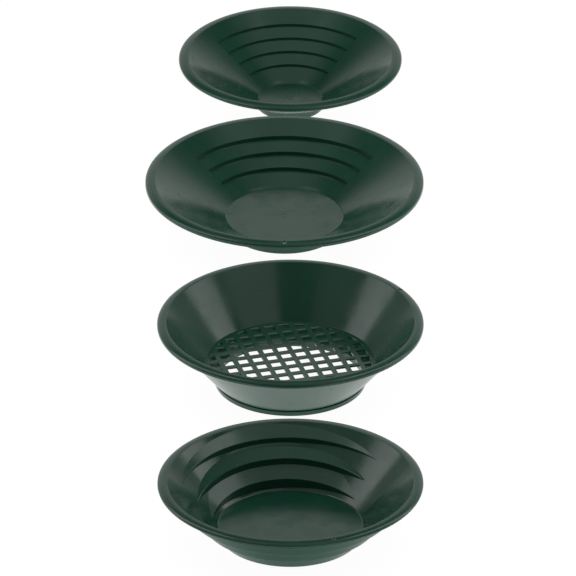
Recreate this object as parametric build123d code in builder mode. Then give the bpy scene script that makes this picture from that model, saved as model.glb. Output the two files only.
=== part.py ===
"""Four-piece gold panning set, in millimetres.

A small finishing pan, a large riffled pan, a classifier (a sieve bowl with its screen) and a
deep sluice pan, all moulded in plastic. They stand level in a row along Y, the sluice pan
nearest to -Y. Z = 0 is the surface they rest on, and the origin is the middle of the row.

Each piece is drawn in its own frame: the origin on the table under its centre, local +Y
towards its riffles, local +Z up. Outlines are given as (radius, height above the table).
"""
import os
from math import cos, hypot, radians, sin, tan

from build123d import *

os.makedirs("parts", exist_ok=True)

# ------------------------------------------------------------ sizes that the pieces share
WALL = 3.0              # moulded wall, square to its surface
LIP_WALL = 2.6          # roof and skirt of a rolled lip
LIP_FLAT = 3.0          # level strip on top of a lip before it rolls over
LIP_EDGE = 1.4          # rounding where a lip turns down into its bowl
TUCK_EDGE = 1.2         # rounding where the outside meets the underside of the lip
SKIRT_EDGE = 0.7        # rounding along the lower edge of a lip
FLOOR_EDGE = 3.0        # rounding where a wall meets its floor
FOOT_WALL = 5.0
FOOT_INNER_EDGE = 0.6
SINK = 0.8              # depth that an added piece of wall reaches into the wall it joins
SKIM = 0.3              # a tread ends this far under the wall's own surface
CLEAR = 2.0             # a riffle cutter stands this far above the wall
RUN_OUT = 3.0           # the lowest tread meets the wall this far outside the floor
BACKING = 1.5           # degrees by which the backing is wider than its riffles, on each side
HANG_HOLE_R = 3.0
SIDE_SHIFT = 7.5        # three of the pieces stand this far to +X of the large pan
TOOL = 200.0            # length of a drill, longer than any piece is tall

# ------------------------------------------------------------ small finishing pan
SMALL_RIM_R = 143.8     # widest circle
SMALL_RIM_H = 67.5      # height of the widest circle above the table
SMALL_LIP_W = 12.3
SMALL_LIP_RISE = 4.4
SMALL_LIP_DROP = 2.2
SMALL_FLOOR_R = 41.5
SMALL_FLOOR_H = 9.9
SMALL_FOOT_R = 43.5
SMALL_FOOT_FLARE = 1.5
SMALL_FOOT_EDGE = 3.2
SMALL_RIFFLES = 4
SMALL_LAND = 18.4       # plain wall between the lip and the outermost riffle's edge
SMALL_LAST_LAND = 23.3  # and between the innermost riffle's edge and the floor
SMALL_RISER = 3.8
SMALL_SECTOR = 53.2     # half angle of the riffled sector
SMALL_TURN = 3.5        # riffles turned from +Y towards -X

# ------------------------------------------------------------ large pan
LARGE_RIM_R = 177.8
LARGE_RIM_H = 66.2
LARGE_LIP_W = 12.3
LARGE_LIP_RISE = 4.6
LARGE_LIP_DROP = 3.2
LARGE_FLOOR_R = 75.0
LARGE_FLOOR_H = 17.7
LARGE_FOOT_R = 72.5
LARGE_FOOT_FLARE = 4.0
LARGE_FOOT_EDGE = 2.2
LARGE_RIFFLES = 3
LARGE_LAND = 23.0
LARGE_LAST_LAND = 26.9
LARGE_RISER = 5.4
LARGE_SECTOR = 53.6
LARGE_TURN = 0.0

# ------------------------------------------------------------ classifier bowl and screen
SIEVE_RIM_R = 168.3
SIEVE_RIM_H = 81.1
SIEVE_LIP_W = 11.1
SIEVE_LIP_RISE = 4.5
SIEVE_LIP_DROP = 2.4
SIEVE_WALL = 3.4
SIEVE_FLOOR_R = 107.3   # where the wall stops, level with the top of the screen
SEAT_STEP = 2.5         # level ring between the wall and the screen's pocket
SEAT_EDGE = 0.5         # rounding of the small corners beside the ring and the groove
LEDGE_EDGE = 1.0        # rounding under the ledge
LEDGE_W = 3.7           # ledge that carries the screen
SCREEN_TOP_H = 26.2
SCREEN_T = 2.2
SCREEN_GAP = 0.3        # between the screen's edge and its pocket
SCREEN_BORDER = 2.2     # solid band round the screen
SCREEN_PITCH = 18.8
SCREEN_HOLE = 12.7
SCREEN_HOLES_ACROSS = 11
SCREEN_TURN = 16.0
BASE_RING_H = 7.0       # plain ring that the classifier stands on
BASE_RING_PROUD = 0.55  # its upper edge stands out this far from the wall above it
BASE_RING_FLARE = 1.4
BASE_RING_W = 4.9
BASE_RING_EDGE = 1.6
GROOVE_H = 1.0          # groove above the base ring
GROOVE_DEPTH = 1.0
SIEVE_HOLE_BEARING = 59.0   # hanging hole, from +Y towards +X

# ------------------------------------------------------------ sluice pan
SLUICE_RIM_R = 166.0
SLUICE_RIM_H = 70.8
SLUICE_LIP_W = 11.8
SLUICE_LIP_RISE = 3.9
SLUICE_LIP_DROP = 1.4
SLUICE_FLOOR_R = 90.8
SLUICE_FLOOR_H = 10.5
SLUICE_FOOT_R = 88.8
SLUICE_FOOT_EDGE = 1.8
RINGS = 3               # ridges round the outside, from under the lip to the foot
RING_FOOT_GAP = 0.6     # their spacing would put one more this far outside the foot
RING_LEDGE = 9.0        # width of the underside of a ridge
RING_LIFT = 0.2         # outer edge of the top ridge's underside, above its inner edge
RING_LIFT_STEP = 1.07   # and more at each ridge below it
RING_EDGE = 1.0
UPPER_R = 134.3         # edge of the upper riffle, at the middle
UPPER_H = 62.4
UPPER_SLOPE = 30.0      # fall of the land above it, in degrees
UPPER_SPREAD = 4.0      # the edge's own radius is larger than its distance by this much
UPPER_TILT = 3.6        # and it sinks to both ends, until it meets the wall
LOWER_R = 109.6         # edge of the lower riffle
LOWER_H = 46.6
LOWER_SLOPE = 18.0
LOWER_SPREAD = 10.5
LOWER_TILT = 8.7
DROP_R = 93.2           # edge of the drop centre
DROP_H = 25.9
DROP_SLOPE = 36.0
DROP_SPREAD = 6.0
DROP_TILT = 8.1
STEP_DEPTH = 30.0       # how far a step's section reaches below its edge
STEP_REACH = 60.0       # and behind it
STEP_ARC = 95.0         # and to each side of its middle, in degrees
STEP_EDGE = 1.0         # rounding of a step's edge
SLUICE_HOLE_BEARING = 175.0     # hanging hole, from the riffles towards local +X
SLUICE_TURN = 14.8

# ------------------------------------------------------------ the row
GAP_SMALL_LARGE = 14.5
GAP_LARGE_SIEVE = 64.3
GAP_SIEVE_SLUICE = 65.5

row_length = (2 * (SMALL_RIM_R + LARGE_RIM_R + SIEVE_RIM_R + SLUICE_RIM_R)
              + GAP_SMALL_LARGE + GAP_LARGE_SIEVE + GAP_SIEVE_SLUICE)
small_y = row_length / 2 - SMALL_RIM_R
large_y = small_y - SMALL_RIM_R - GAP_SMALL_LARGE - LARGE_RIM_R
sieve_y = large_y - LARGE_RIM_R - GAP_LARGE_SIEVE - SIEVE_RIM_R
sluice_y = sieve_y - SIEVE_RIM_R - GAP_SIEVE_SLUICE - SLUICE_RIM_R


def stand(x, y, turn):
    """Frame of a piece on the table, its riffles turned by `turn` degrees from +Y to -X."""
    across = (cos(radians(turn)), sin(radians(turn)), 0)
    return Plane(origin=(x, y, 0), x_dir=across, z_dir=(0, 0, 1))


def upright(place, bearing=90.0):
    """Plane through a piece's axis: first direction outward, at `bearing` degrees from its
    riffles towards its local +X, second direction up."""
    outward = place.y_dir * cos(radians(bearing)) + place.x_dir * sin(radians(bearing))
    return Plane(origin=place.origin, x_dir=outward, z_dir=outward.cross(place.z_dir))


def spin(section, place, angle=360.0, mode=Mode.ADD):
    """Revolve a section about the piece's own axis, into the active part."""
    revolve(section, axis=Axis(place.origin, place.z_dir), revolution_arc=angle, mode=mode)


def lipped_section(place, corners, rim_r, rim_h, lip_w, lip_rise):
    """Half section of a bowl: from the lip's top down the inside, along the bottom and up the
    outside through `corners` of (radius, height, rounding), then over the rolled lip."""
    roll_r = rim_r - lip_w + LIP_FLAT
    path = [(roll_r, rim_h + lip_rise)] + [(r, h) for r, h, _ in corners] + [(rim_r, rim_h)]
    with BuildSketch(upright(place)) as section:
        with BuildLine():
            FilletPolyline(*path, radius=[rounding for _, _, rounding in corners])
            EllipticalCenterArc((roll_r, rim_h), lip_w - LIP_FLAT, lip_rise, 0, arc_size=90)
        make_face()
    return section.sketch


def straight_section(place, bearing, corners):
    """Section with straight sides through `corners`, drawn at a bearing."""
    with BuildSketch(upright(place, bearing)) as section:
        with BuildLine():
            Polyline(*corners, close=True)
        make_face()
    return section.sketch


def hang_hole(place, radius, angle):
    """Drill a hanging hole through a lip of the active part, `angle` degrees from local +X."""
    with BuildSketch(place) as hole:
        with PolarLocations(radius, 1, start_angle=angle):
            Circle(HANG_HOLE_R)
    extrude(hole.sketch, amount=TOOL, mode=Mode.SUBTRACT)


def lip_skirt(rim_r, rim_h, lip_top, lip_drop, tuck_r):
    """Corners of the underside and the turned-down edge of a lip."""
    return [
        (tuck_r, lip_top - LIP_WALL, TUCK_EDGE),
        (rim_r - LIP_WALL, lip_top - LIP_WALL, TUCK_EDGE),
        (rim_r - LIP_WALL, rim_h - lip_drop, SKIRT_EDGE),
        (rim_r, rim_h - lip_drop, SKIRT_EDGE),
    ]


def riffled_pan(place, rim_r, rim_h, lip_w, lip_rise, lip_drop, floor_r, floor_h, foot_r,
                foot_flare, foot_edge, riffles, land, last_land, riser, sector):
    """Build a pan in the active part: a straight wall, a flat floor on a foot ring, and a
    sector of riffles cut into the wall, whose back follows them at the wall's thickness."""
    lip_in = rim_r - lip_w
    lip_top = rim_h + lip_rise
    slope = (lip_top - floor_h) / (lip_in - floor_r)
    wall_drop = WALL * hypot(1, slope)

    def wall_h(radius):
        return floor_h + slope * (radius - floor_r)

    foot_top_r = foot_r + foot_flare
    tuck_r = lip_in + (wall_drop - LIP_WALL) / slope
    corners = [
        (lip_in, lip_top, LIP_EDGE),
        (floor_r, floor_h, FLOOR_EDGE),
        (0, floor_h, 0),
        (0, floor_h - WALL, 0),
        (foot_r - FOOT_WALL, floor_h - WALL, FOOT_INNER_EDGE),
        (foot_r - FOOT_WALL, 0, FOOT_INNER_EDGE),
        (foot_r, 0, foot_edge),
        (foot_top_r, wall_h(foot_top_r) - wall_drop, FOOT_INNER_EDGE),
    ]
    corners += lip_skirt(rim_r, rim_h, lip_top, lip_drop, tuck_r)
    spin(lipped_section(place, corners, rim_r, rim_h, lip_w, lip_rise), place)

    # Riffles: each riser drops from the wall's surface, and its tread rises back to it.
    riffle_r = lip_in - land
    pitch = (riffle_r - floor_r - last_land) / (riffles - 1)
    edges = [riffle_r - i * pitch for i in range(riffles)]
    inner_r = floor_r + RUN_OUT
    back_r = foot_top_r + RUN_OUT
    cut = [(inner_r, wall_h(inner_r) + CLEAR), (riffle_r, wall_h(riffle_r) + CLEAR)]
    backing = [(back_r, wall_h(back_r) - wall_drop + SINK),
               (riffle_r + WALL, wall_h(riffle_r + WALL) - wall_drop + SINK)]
    for edge_r in edges:
        cut += [(edge_r, wall_h(edge_r) - SKIM), (edge_r, wall_h(edge_r) - riser)]
        backing += [(edge_r + WALL, wall_h(edge_r + WALL) - wall_drop - SKIM),
                    (edge_r + WALL, wall_h(edge_r) - riser - WALL)]
    cut += [(inner_r, wall_h(inner_r) + SKIM)]
    backing += [(back_r, wall_h(back_r) - wall_drop - SKIM)]
    spin(straight_section(place, sector + BACKING, backing), place, 2 * (sector + BACKING))
    spin(straight_section(place, sector, cut), place, 2 * sector, Mode.SUBTRACT)


# ------------------------------------------------------------ small finishing pan
small_place = stand(SIDE_SHIFT, small_y, SMALL_TURN)

with BuildPart() as small_pan:
    riffled_pan(small_place, SMALL_RIM_R, SMALL_RIM_H, SMALL_LIP_W, SMALL_LIP_RISE,
                SMALL_LIP_DROP, SMALL_FLOOR_R, SMALL_FLOOR_H, SMALL_FOOT_R, SMALL_FOOT_FLARE,
                SMALL_FOOT_EDGE, SMALL_RIFFLES, SMALL_LAND, SMALL_LAST_LAND, SMALL_RISER,
                SMALL_SECTOR)

# ------------------------------------------------------------ large pan
large_place = stand(0, large_y, LARGE_TURN)

with BuildPart() as large_pan:
    riffled_pan(large_place, LARGE_RIM_R, LARGE_RIM_H, LARGE_LIP_W, LARGE_LIP_RISE,
                LARGE_LIP_DROP, LARGE_FLOOR_R, LARGE_FLOOR_H, LARGE_FOOT_R, LARGE_FOOT_FLARE,
                LARGE_FOOT_EDGE, LARGE_RIFFLES, LARGE_LAND, LARGE_LAST_LAND, LARGE_RISER,
                LARGE_SECTOR)
    hang_hole(large_place, LARGE_RIM_R - LARGE_LIP_W / 2, -90)

# ------------------------------------------------------------ classifier bowl
sieve_place = stand(SIDE_SHIFT, sieve_y, 0)
sieve_lip_in = SIEVE_RIM_R - SIEVE_LIP_W
sieve_lip_top = SIEVE_RIM_H + SIEVE_LIP_RISE
sieve_slope = (sieve_lip_top - SCREEN_TOP_H) / (sieve_lip_in - SIEVE_FLOOR_R)
sieve_wall_across = SIEVE_WALL * hypot(1, sieve_slope) / sieve_slope
pocket_r = SIEVE_FLOOR_R - SEAT_STEP
ledge_h = SCREEN_TOP_H - SCREEN_T
ledge_r = pocket_r - LEDGE_W
groove_top_h = BASE_RING_H + GROOVE_H


def sieve_outside_r(height):
    """Radius of the classifier's outside at a height above the table."""
    return SIEVE_FLOOR_R + (height - SCREEN_TOP_H) / sieve_slope + sieve_wall_across


groove_r = sieve_outside_r(groove_top_h) - GROOVE_DEPTH
base_top_r = sieve_outside_r(groove_top_h) + BASE_RING_PROUD
base_r = base_top_r - BASE_RING_FLARE
base_in_r = base_r - BASE_RING_W
sieve_tuck_r = sieve_outside_r(sieve_lip_top - LIP_WALL)
sieve_hole_r = (sieve_tuck_r + SIEVE_RIM_R - LIP_WALL) / 2      # middle of the lip's hollow
sieve_corners = [
    (sieve_lip_in, sieve_lip_top, LIP_EDGE),
    (SIEVE_FLOOR_R, SCREEN_TOP_H, SEAT_EDGE),
    (pocket_r, SCREEN_TOP_H, 0),
    (pocket_r, ledge_h, 0),
    (ledge_r, ledge_h, 0),
    (base_in_r, groove_top_h, LEDGE_EDGE),
    (base_in_r, 0, FOOT_INNER_EDGE),
    (base_r, 0, BASE_RING_EDGE),
    (base_top_r, BASE_RING_H, SEAT_EDGE),
    (groove_r, BASE_RING_H, 0),
    (groove_r, groove_top_h, 0),
    (sieve_outside_r(groove_top_h), groove_top_h, 0),
]
sieve_corners += lip_skirt(SIEVE_RIM_R, SIEVE_RIM_H, sieve_lip_top, SIEVE_LIP_DROP,
                           sieve_tuck_r)

with BuildPart() as classifier_bowl:
    spin(lipped_section(sieve_place, sieve_corners, SIEVE_RIM_R, SIEVE_RIM_H, SIEVE_LIP_W,
                        SIEVE_LIP_RISE), sieve_place)
    hang_hole(sieve_place, sieve_hole_r, 90 - SIEVE_HOLE_BEARING)

# ------------------------------------------------------------ classifier screen
screen_r = pocket_r - SCREEN_GAP
screen_place = sieve_place.offset(ledge_h).rotated((0, 0, SCREEN_TURN))

with BuildPart() as classifier_screen:
    with BuildSketch(screen_place):
        Circle(screen_r)
    extrude(amount=SCREEN_T)
    with BuildSketch(screen_place):
        with GridLocations(SCREEN_PITCH, SCREEN_PITCH, SCREEN_HOLES_ACROSS, SCREEN_HOLES_ACROSS):
            Rectangle(SCREEN_HOLE, SCREEN_HOLE)
        Circle(screen_r - SCREEN_BORDER, mode=Mode.INTERSECT)
    extrude(amount=SCREEN_T, mode=Mode.SUBTRACT)

# ------------------------------------------------------------ sluice pan
sluice_place = stand(SIDE_SHIFT, sluice_y, SLUICE_TURN)
sluice_lip_in = SLUICE_RIM_R - SLUICE_LIP_W
sluice_lip_top = SLUICE_RIM_H + SLUICE_LIP_RISE
sluice_slope = (sluice_lip_top - SLUICE_FLOOR_H) / (sluice_lip_in - SLUICE_FLOOR_R)
sluice_wall_drop = WALL * hypot(1, sluice_slope)
sluice_tuck_r = sluice_lip_in + (sluice_wall_drop - LIP_WALL) / sluice_slope


def sluice_wall_h(radius):
    """Height of the sluice pan's plain inner wall at a radius."""
    return SLUICE_FLOOR_H + sluice_slope * (radius - SLUICE_FLOOR_R)


# Everything inside the bowl, and a little way into its wall: the steps are kept to this.
land_r = sluice_lip_in + SINK / sluice_slope
with BuildPart() as sluice_inside:
    spin(straight_section(sluice_place, 0, [
        (0, SLUICE_FLOOR_H - SINK),
        (SLUICE_FLOOR_R, SLUICE_FLOOR_H - SINK),
        (land_r - SKIM, sluice_wall_h(land_r - SKIM) - SINK),
        (0, sluice_wall_h(land_r - SKIM) - SINK),
    ]), sluice_place)


def sluice_step(edge_r, edge_h, slope, spread, tilt):
    """One step of the sluice pan, kept inside the wall. Its edge runs round an axis that leans
    and stands further forward than the pan's own, so it fades into the wall at both ends."""
    lean = radians(tilt)
    outward = sluice_place.y_dir * cos(lean) + sluice_place.z_dir * sin(lean)
    upward = sluice_place.z_dir * cos(lean) - sluice_place.y_dir * sin(lean)
    edge = sluice_place.origin + sluice_place.y_dir * edge_r + sluice_place.z_dir * edge_h
    top = STEP_REACH * tan(radians(slope) - lean)
    foot = -STEP_DEPTH * tan(lean)
    with BuildSketch(Plane(origin=edge, x_dir=outward, z_dir=outward.cross(upward))) as section:
        with BuildLine():
            FilletPolyline((STEP_REACH, -STEP_DEPTH), (STEP_REACH, top), (0, 0),
                           (foot, -STEP_DEPTH), radius=[0, STEP_EDGE])
            Line((foot, -STEP_DEPTH), (STEP_REACH, -STEP_DEPTH))
        make_face()
    axis = Axis(edge - outward * (edge_r + spread), upward)
    with BuildPart() as step:
        revolve(section.sketch.rotate(axis, -STEP_ARC), axis=axis, revolution_arc=2 * STEP_ARC)
        add(sluice_inside.part, mode=Mode.INTERSECT)
    return step.part


# Outside: ridges, and between them the wall at its plain thickness.
ring_step = (sluice_lip_in - SLUICE_FOOT_R - RING_FOOT_GAP) / RINGS
outside = []
for i in reversed(range(RINGS)):
    ring_r = sluice_lip_in - i * ring_step
    inner_r = ring_r - RING_LEDGE
    inner_h = sluice_wall_h(inner_r) - sluice_wall_drop
    outside += [
        (inner_r, inner_h, RING_EDGE),
        (ring_r, inner_h + RING_LIFT + i * RING_LIFT_STEP, RING_EDGE),
    ]

land_step = sluice_step(UPPER_R, UPPER_H, UPPER_SLOPE, UPPER_SPREAD, UPPER_TILT)
upper_step = sluice_step(LOWER_R, LOWER_H, LOWER_SLOPE, LOWER_SPREAD, LOWER_TILT)
lower_step = sluice_step(DROP_R, DROP_H, DROP_SLOPE, DROP_SPREAD, DROP_TILT)

sluice_corners = [
    (sluice_lip_in, sluice_lip_top, LIP_EDGE),
    (SLUICE_FLOOR_R, SLUICE_FLOOR_H, FLOOR_EDGE),
    (0, SLUICE_FLOOR_H, 0),
    (0, SLUICE_FLOOR_H - WALL, 0),
    (SLUICE_FOOT_R - FOOT_WALL, SLUICE_FLOOR_H - WALL, FOOT_INNER_EDGE),
    (SLUICE_FOOT_R - FOOT_WALL, 0, FOOT_INNER_EDGE),
    (SLUICE_FOOT_R, 0, SLUICE_FOOT_EDGE),
]
sluice_corners += outside
sluice_corners += lip_skirt(SLUICE_RIM_R, SLUICE_RIM_H, sluice_lip_top, SLUICE_LIP_DROP,
                            sluice_tuck_r)

with BuildPart() as sluice_pan:
    spin(lipped_section(sluice_place, sluice_corners, SLUICE_RIM_R, SLUICE_RIM_H, SLUICE_LIP_W,
                        SLUICE_LIP_RISE), sluice_place)
    add([land_step, upper_step, lower_step])
    hang_hole(sluice_place, SLUICE_RIM_R - SLUICE_LIP_W / 2, 90 - SLUICE_HOLE_BEARING)

# ------------------------------------------------------------ finished pieces
small_pan.part.label = "small_pan"
export_step(small_pan.part, "parts/small_pan.step")
large_pan.part.label = "large_pan"
export_step(large_pan.part, "parts/large_pan.step")
classifier_bowl.part.label = "classifier_bowl"
export_step(classifier_bowl.part, "parts/classifier_bowl.step")
classifier_screen.part.label = "classifier_screen"
export_step(classifier_screen.part, "parts/classifier_screen.step")
sluice_pan.part.label = "sluice_pan"
export_step(sluice_pan.part, "parts/sluice_pan.step")
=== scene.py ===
"""Gold panning set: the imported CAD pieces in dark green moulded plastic, on a pale lit table.

The pieces stand in a row along Y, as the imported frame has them. Each keeps its own CAD mesh and
gets a procedural plastic. Lengths are in metres.
"""

from math import cos, radians, sin

import bpy
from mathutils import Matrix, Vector


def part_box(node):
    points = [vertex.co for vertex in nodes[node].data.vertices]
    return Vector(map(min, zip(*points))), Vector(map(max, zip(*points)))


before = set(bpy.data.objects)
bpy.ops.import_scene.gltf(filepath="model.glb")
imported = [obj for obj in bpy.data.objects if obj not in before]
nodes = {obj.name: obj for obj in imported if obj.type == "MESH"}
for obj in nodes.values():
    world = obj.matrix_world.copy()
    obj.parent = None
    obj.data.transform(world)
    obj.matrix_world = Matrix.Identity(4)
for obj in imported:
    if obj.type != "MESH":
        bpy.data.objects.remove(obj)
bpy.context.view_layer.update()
scene = bpy.context.scene

# ------------------------------------------------------------ view
ELEVATION = radians(28.2)
VIEW_SPAN = 0.7311              # height of the picture at the row
CAMERA_DISTANCE = 30.0
CLIP_END = 200
SENSOR_MM = 36.0
AIM = Vector((0.0045, 0.0193, 0.035))

# ------------------------------------------------------------ plastic
GREEN = (0.0150, 0.0790, 0.0500)
GREEN_DEEP = (0.0110, 0.0660, 0.0415)
# The lighter green below serves both the scratch wear and the painted highlight on convex edges.
GREEN_WEAR_AND_HIGHLIGHT = (0.030, 0.090, 0.062)
PLASTIC_IOR = 1.49
SPECULAR = 0.5

# Noises: scale, detail and roughness.
DRIFT = (9.0, 3.0, 0.5)         # slow change over a piece
CLOUD = (42.0, 4.0, 0.6)        # patches of handling
GRAIN = (1500.0, 2.0, 0.5)

# Hair scratches in two directions: turn in radians, stretch, noise, and the noise levels at which
# a scratch begins and is full.
HAIRS = [
    (0.6, (1, 0.035, 1), (420.0, 2.0, 0.5), (0.66, 0.74)),
    (-0.9, (0.03, 1, 1), (380.0, 2.0, 0.5), (0.68, 0.75)),
]

# Ranges for remap: from and to, then what those two turn into where it isn't 0 and 1.
DRIFT_TO_COLOUR = (0.35, 0.65)
CLOUD_TO_HAIRS = (0.45, 0.62)
CLOUD_TO_EDGE_WEAR_AND_HIGHLIGHT = (0.35, 0.65, 0.2, 0.8)
CLOUD_TO_ROUGHNESS = (0.3, 0.7, 0.14, 0.25)
POINTINESS_TO_EDGE_WEAR_AND_HIGHLIGHT = (0.53, 0.60)
# Painted shade: the range below sets where the specular level drops on down-facing sides.
PAINTED_SHADE_FACING = (-0.25, -0.05)    # upward part of the normal

SCRATCH_WEAR = 0.25             # how far a full scratch goes to the worn colour
# How far convex edges go to the lighter green: partly edge wear, partly a painted highlight.
EDGE_WEAR_AND_HIGHLIGHT = 0.5
SCRATCH_ROUGHNESS = 0.18        # added to the roughness
GRAIN_RISE = 0.35               # these three are heights in the bump
SCRATCH_RISE = -0.5
MARK_RISE = 9.0
BUMP = {"Strength": 0.10, "Distance": 0.0002}
RIPPLE = {"Strength": 0.12, "Distance": 0.004}

# Gate and ejector marks on the floors, as rings: place from the piece's centre, and radius.
MARKS = {
    "small_pan": [((0.0, 0.0), 0.0035)],
    "large_pan": [((0.0, 0.0), 0.0040), ((-0.052, -0.030), 0.0048), ((0.052, -0.026), 0.0048),
                  ((0.039, -0.012), 0.0024)],
    "sluice_pan": [((0.0, 0.0), 0.0040), ((-0.050, -0.040), 0.0040), ((0.050, -0.040), 0.0040)],
}
MARK_HALF_WIDTH = 0.0007

# Specular level of what faces down, where it is lower than elsewhere: painted shade, standing in
# for the shaded table under the piece.
PAINTED_SHADE_SPECULAR = {"large_pan": 0.25, "classifier_bowl": 0.34, "sluice_pan": 0.10}
PIECES = ["small_pan", "large_pan", "classifier_bowl", "classifier_screen", "sluice_pan"]

# ------------------------------------------------------------ table and lamps
FLOOR_HALF = 12.0
FLOOR_SHADE = (0.12, 0.12, 0.12, 1)
FLOOR_GLOW = 0.96
LAMP_PLACE = (1.6, 0.2, 1.3)    # of the right one; the left one mirrors it
LAMP_SIZE = (0.9, 2.6)
LAMP_WATTS = 12

# ------------------------------------------------------------ surroundings
# Panels of light, by direction: azimuths from and to, heights from and to, half the width of the
# soft edge, all in degrees, and brightness. Azimuth is 0 toward the camera's side and grows to
# the camera's right; height is above the level.
ALL_ROUND = 400                 # more than a full circle, so that a panel has no ends
BAND = (-ALL_ROUND, ALL_ROUND, -90, 34, 7, 1.0)
FRONT = (-75, 75, -90, 38, 12, 1.0)
CEILING = (-ALL_ROUND, ALL_ROUND, 60, 200, 6, 0.40)
RIGHT_PANEL = (17, 75, 38, 60, 3, 0.55)
LEFT_PANEL = (-100, -33, 38, 60, 3, 0.22)
REAR_EDGE = (32, 48)            # degrees to each side of the rear: still full, and gone
REAR = 0.68                     # brightness of the band beyond the row
SIDES = 0.30                    # and at the sides
DIM = 0.06                      # added everywhere
WORLD_COLOUR = (1.0, 0.99, 0.965, 1)


# ------------------------------------------------------------ shader node helpers
def put(tree, value, socket):
    """Link a socket, or set a plain value."""
    if isinstance(value, bpy.types.NodeSocket):
        tree.links.new(value, socket)
    else:
        socket.default_value = value


def add(tree, kind, **inputs):
    """Add a shader node and fill its inputs by name, with _ for a space."""
    made = tree.nodes.new(kind)
    for key, value in inputs.items():
        put(tree, value, made.inputs[key.replace("_", " ")])
    return made


def calculate(tree, operation, *values):
    made = tree.nodes.new("ShaderNodeMath")
    made.operation = operation
    for value, socket in zip(values, made.inputs):
        put(tree, value, socket)
    return made.outputs[0]


def multiply(tree, first, *others):
    product = first
    for other in others:
        product = calculate(tree, "MULTIPLY", product, other)
    return product


def vector_math(tree, operation, vector, other, output="Vector"):
    made = tree.nodes.new("ShaderNodeVectorMath")
    made.operation = operation
    put(tree, vector, made.inputs[0])
    put(tree, other, made.inputs[1])
    return made.outputs[output]


def noise(tree, vector, scale, detail, roughness):
    made = add(tree, "ShaderNodeTexNoise", Vector=vector, Scale=scale, Detail=detail,
               Roughness=roughness)
    return made.outputs["Fac"]


def remap(tree, value, from_low, from_high, to_low=0, to_high=1):
    """Map one range to another, held at its ends."""
    made = add(tree, "ShaderNodeMapRange", Value=value, From_Min=from_low, From_Max=from_high,
               To_Min=to_low, To_Max=to_high)
    made.clamp = True
    return made.outputs["Result"]


def mix_colour(tree, factor, under, over):
    """Go from one colour to another by a factor. A colour is a socket or three numbers."""
    made = tree.nodes.new("ShaderNodeMix")
    made.data_type = "RGBA"
    put(tree, factor, made.inputs[0])
    colour_inputs = [socket for socket in made.inputs if socket.type == "RGBA"]
    for colour, socket in zip((under, over), colour_inputs):
        put(tree, (*colour, 1.0) if isinstance(colour, tuple) else colour, socket)
    return next(socket for socket in made.outputs if socket.type == "RGBA")


def close(tree, kind, shader):
    """Link the last shader to an output node of this kind."""
    out = tree.nodes.new(kind)
    tree.links.new(shader.outputs[0], out.inputs[0])


def new_material(name):
    made = bpy.data.materials.new(name)
    made.use_nodes = True
    made.node_tree.nodes.clear()
    return made, made.node_tree


# ------------------------------------------------------------ moulded plastic
def centre_of(node):
    low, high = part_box(node)
    return (low + high) / 2


def hair_scratches(tree, here, cloud):
    """Stretched noises, kept only at their peaks and where the patches of handling are."""
    hairs = []
    for turn, stretch, grain, peak in HAIRS:
        turned = add(tree, "ShaderNodeMapping", Vector=here, Rotation=(0, 0, turn), Scale=stretch)
        hairs.append(remap(tree, noise(tree, turned.outputs[0], *grain), *peak))
    return multiply(tree, calculate(tree, "MAXIMUM", *hairs), remap(tree, cloud, *CLOUD_TO_HAIRS))


def ring_mark(tree, here, place, radius):
    """The ring of a moulding mark: 1 on the ring, 0 away from it, the same at every height."""
    flat = vector_math(tree, "MULTIPLY", here, (1, 1, 0))
    apart = vector_math(tree, "DISTANCE", flat, (*place, 0), "Value")
    offset = calculate(tree, "ABSOLUTE", calculate(tree, "SUBTRACT", apart, radius))
    return remap(tree, offset, 0, MARK_HALF_WIDTH, 1, 0)


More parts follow.
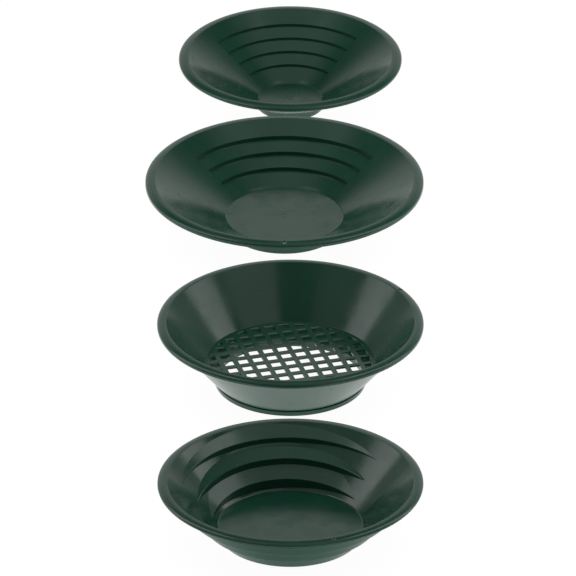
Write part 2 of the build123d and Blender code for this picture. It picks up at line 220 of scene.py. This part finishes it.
def plastic(name):
    """Dark green moulded plastic for one piece: slow colour drift, fine grain, hair scratches,
    lighter edges that are partly wear and partly painted highlight, and the round marks of the
    mould. On some pieces the down-facing sides get a lower specular level, as painted shade."""
    made, tree = new_material(name + "_plastic")
    coordinates = tree.nodes.new("ShaderNodeTexCoord").outputs["Object"]
    here = vector_math(tree, "SUBTRACT", coordinates, centre_of(name))
    geometry = tree.nodes.new("ShaderNodeNewGeometry")

    drift = noise(tree, here, *DRIFT)
    cloud = noise(tree, here, *CLOUD)
    grain = noise(tree, here, *GRAIN)
    scratches = hair_scratches(tree, here, cloud)
    # Lighter convex edges: partly edge wear, partly a painted highlight along the ridges.
    worn_and_highlit_edges = multiply(tree, remap(tree, geometry.outputs["Pointiness"], *POINTINESS_TO_EDGE_WEAR_AND_HIGHLIGHT),
                    remap(tree, cloud, *CLOUD_TO_EDGE_WEAR_AND_HIGHLIGHT))

    base = mix_colour(tree, remap(tree, drift, *DRIFT_TO_COLOUR), GREEN_DEEP, GREEN)
    base = mix_colour(tree, multiply(tree, scratches, SCRATCH_WEAR), base, GREEN_WEAR_AND_HIGHLIGHT)
    base = mix_colour(tree, multiply(tree, worn_and_highlit_edges, EDGE_WEAR_AND_HIGHLIGHT), base, GREEN_WEAR_AND_HIGHLIGHT)

    roughness = calculate(tree, "ADD", remap(tree, cloud, *CLOUD_TO_ROUGHNESS),
                          multiply(tree, scratches, SCRATCH_ROUGHNESS))

    height = calculate(tree, "ADD", multiply(tree, grain, GRAIN_RISE),
                       multiply(tree, scratches, SCRATCH_RISE))
    for place, radius in MARKS.get(name, ()):
        ring = ring_mark(tree, here, place, radius)
        height = calculate(tree, "ADD", height, multiply(tree, ring, MARK_RISE))
    bump = add(tree, "ShaderNodeBump", Height=height, **BUMP)
    ripple = add(tree, "ShaderNodeBump", Height=drift, Normal=bump.outputs[0], **RIPPLE)

    # Painted shade: down-facing sides get a lower specular level, standing in for the shaded
    # table under the piece.
    specular = SPECULAR
    if name in PAINTED_SHADE_SPECULAR:
        facing = add(tree, "ShaderNodeSeparateXYZ", Vector=geometry.outputs["Normal"])
        specular = remap(tree, facing.outputs["Z"], *PAINTED_SHADE_FACING, PAINTED_SHADE_SPECULAR[name], SPECULAR)
    shader = add(tree, "ShaderNodeBsdfPrincipled", Base_Color=base, Roughness=roughness,
                 Normal=ripple.outputs[0], IOR=PLASTIC_IOR, Specular_IOR_Level=specular)
    close(tree, "ShaderNodeOutputMaterial", shader)
    return made


# ------------------------------------------------------------ table, surroundings, lamps, camera
def build_floor():
    """The table: a large square, partly matt and partly glowing, so that it stays pale."""
    mesh = bpy.data.meshes.new("floor")
    corners = [(-FLOOR_HALF, -FLOOR_HALF, 0), (FLOOR_HALF, -FLOOR_HALF, 0),
               (FLOOR_HALF, FLOOR_HALF, 0), (-FLOOR_HALF, FLOOR_HALF, 0)]
    mesh.from_pydata(corners, [], [(0, 1, 2, 3)])
    floor = bpy.data.objects.new("floor", mesh)
    scene.collection.objects.link(floor)

    table, tree = new_material("table")
    matt = add(tree, "ShaderNodeBsdfDiffuse", Color=FLOOR_SHADE)
    glow = add(tree, "ShaderNodeEmission", Color=(1, 1, 1, 1), Strength=FLOOR_GLOW)
    both = tree.nodes.new("ShaderNodeAddShader")
    tree.links.new(matt.outputs[0], both.inputs[0])
    tree.links.new(glow.outputs[0], both.inputs[1])
    close(tree, "ShaderNodeOutputMaterial", both)
    mesh.materials.append(table)


def window(tree, angle, low, high, soft):
    """1 between two angles in degrees and 0 beyond them, with soft edges."""
    return multiply(tree, remap(tree, angle, radians(low - soft), radians(low + soft)),
                    remap(tree, angle, radians(high - soft), radians(high + soft), 1, 0))


def build_world():
    """A grey studio: a low band that is bright beyond the row, dimmer at the sides and gone in
    front, a soft ceiling, and a panel at each side above the camera with a gap between them."""
    world = bpy.data.worlds.new("studio")
    scene.world = world
    world.use_nodes = True
    tree = world.node_tree
    tree.nodes.clear()
    direction = tree.nodes.new("ShaderNodeTexCoord").outputs["Generated"]
    right, beyond, up = add(tree, "ShaderNodeSeparateXYZ", Vector=direction).outputs
    toward = multiply(tree, beyond, -1.0)
    azimuth = calculate(tree, "ARCTAN2", right, toward)
    level = calculate(tree, "SQRT", calculate(tree, "ADD", multiply(tree, right, right),
                                              multiply(tree, toward, toward)))
    height = calculate(tree, "ARCTAN2", up, level)

    def panel(azimuth_low, azimuth_high, height_low, height_high, soft, brightness):
        return multiply(tree, window(tree, azimuth, azimuth_low, azimuth_high, soft),
                        window(tree, height, height_low, height_high, soft), brightness)

    off_rear = calculate(tree, "ABSOLUTE", calculate(tree, "ARCTAN2", right, beyond))
    rear = remap(tree, off_rear, radians(REAR_EDGE[0]), radians(REAR_EDGE[1]), 1, 0)
    band_level = calculate(tree, "ADD", multiply(tree, rear, REAR - SIDES), SIDES)
    not_front = calculate(tree, "SUBTRACT", 1.0, panel(*FRONT))
    light = multiply(tree, panel(*BAND), band_level, not_front)
    light = calculate(tree, "ADD", light, DIM)
    for shape in (CEILING, RIGHT_PANEL, LEFT_PANEL):
        light = calculate(tree, "ADD", light, panel(*shape))
    shader = add(tree, "ShaderNodeBackground", Color=WORLD_COLOUR, Strength=light)
    close(tree, "ShaderNodeOutputWorld", shader)


def set_up(thing, place, direction):
    """Put a lamp or the camera at a place, looking in a direction."""
    thing.location = place
    thing.rotation_euler = direction.to_track_quat("-Z", "Y").to_euler()
    scene.collection.objects.link(thing)


def build_softbox(name, side):
    """A lamp at one side, -1 or 1, turned to the middle of the row."""
    data = bpy.data.lights.new(name, "AREA")
    data.shape = "RECTANGLE"
    data.size, data.size_y = LAMP_SIZE
    data.energy = LAMP_WATTS
    x, y, z = LAMP_PLACE
    place = Vector((side * x, y, z))
    set_up(bpy.data.objects.new(name, data), place, -place)


def build_camera():
    data = bpy.data.cameras.new("camera")
    data.sensor_width = SENSOR_MM
    data.lens = SENSOR_MM * CAMERA_DISTANCE / VIEW_SPAN
    data.clip_end = CLIP_END
    camera = bpy.data.objects.new("camera", data)
    backward = Vector((0, -cos(ELEVATION), sin(ELEVATION)))
    set_up(camera, AIM + backward * CAMERA_DISTANCE, -backward)
    scene.camera = camera


for name in PIECES:
    nodes[name].data.materials[0] = plastic(name)
build_floor()
build_world()
build_softbox("left_box", -1)
build_softbox("right_box", 1)
build_camera()
scene.view_settings.view_transform = "Standard"
